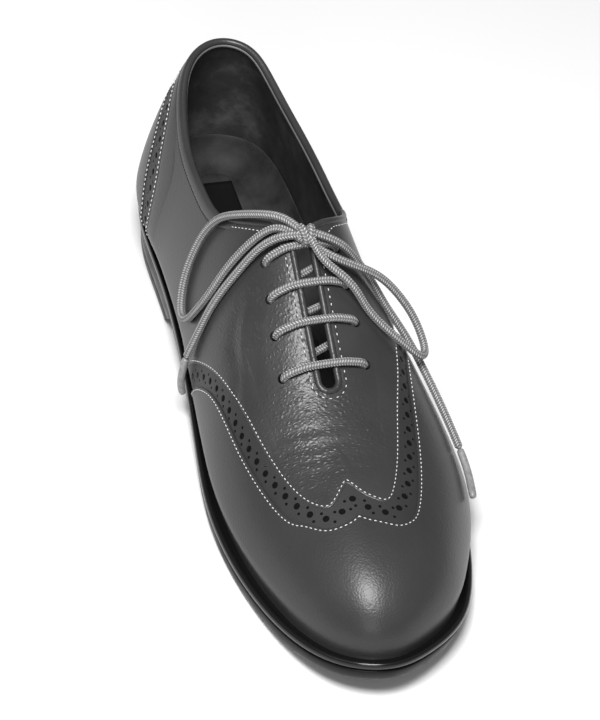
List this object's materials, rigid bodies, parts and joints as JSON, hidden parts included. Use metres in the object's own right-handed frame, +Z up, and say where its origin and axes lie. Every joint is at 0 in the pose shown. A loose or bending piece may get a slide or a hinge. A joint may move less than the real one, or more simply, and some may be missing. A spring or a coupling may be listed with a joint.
{
  "type": "wing-tip leather shoe",
  "caption": "Low lace-up dress shoe for the right foot: hollow leather upper with wing-shaped toe cap, punched trim strips, low stacked heel, welted sole and a tied round lace.",
  "frame": {"origin": "middle of the base on the floor, halfway along and across the shoe without its free lace", "axes": "+X from the heel to the toe, +Y towards the inner side of the foot, +Z up"},
  "size_m": [0.265, 0.0892, 0.0902],
  "materials": {
    "smooth_leather": "semi-gloss",
    "band_leather": "satin",
    "lining_leather": "matt",
    "sole_rubber": "semi-gloss",
    "lace_cord": "braided",
    "aglet_film": "satin"
  },
  "bodies": {
    "root": {"upper": "smooth_leather", "wing_cap": "smooth_leather", "heel_counter": "smooth_leather", "wing_band": "band_leather", "counter_band": "band_leather", "insole": "lining_leather", "outsole": "sole_rubber", "heel": "sole_rubber", "welt": "sole_rubber", "lace_bar_1": "lace_cord", "lace_bar_2": "lace_cord", "lace_bar_3": "lace_cord", "lace_bar_4": "lace_cord", "lace_diagonal_1": "lace_cord", "lace_diagonal_2": "lace_cord", "lace_diagonal_3": "lace_cord", "lace_knot": "lace_cord", "lace_loop_outer": "lace_cord", "lace_loop_inner": "lace_cord", "lace_end_outer": "lace_cord", "lace_end_inner": "lace_cord", "aglet_outer": "aglet_film", "aglet_inner": "aglet_film"}
  },
  "joints": []
}
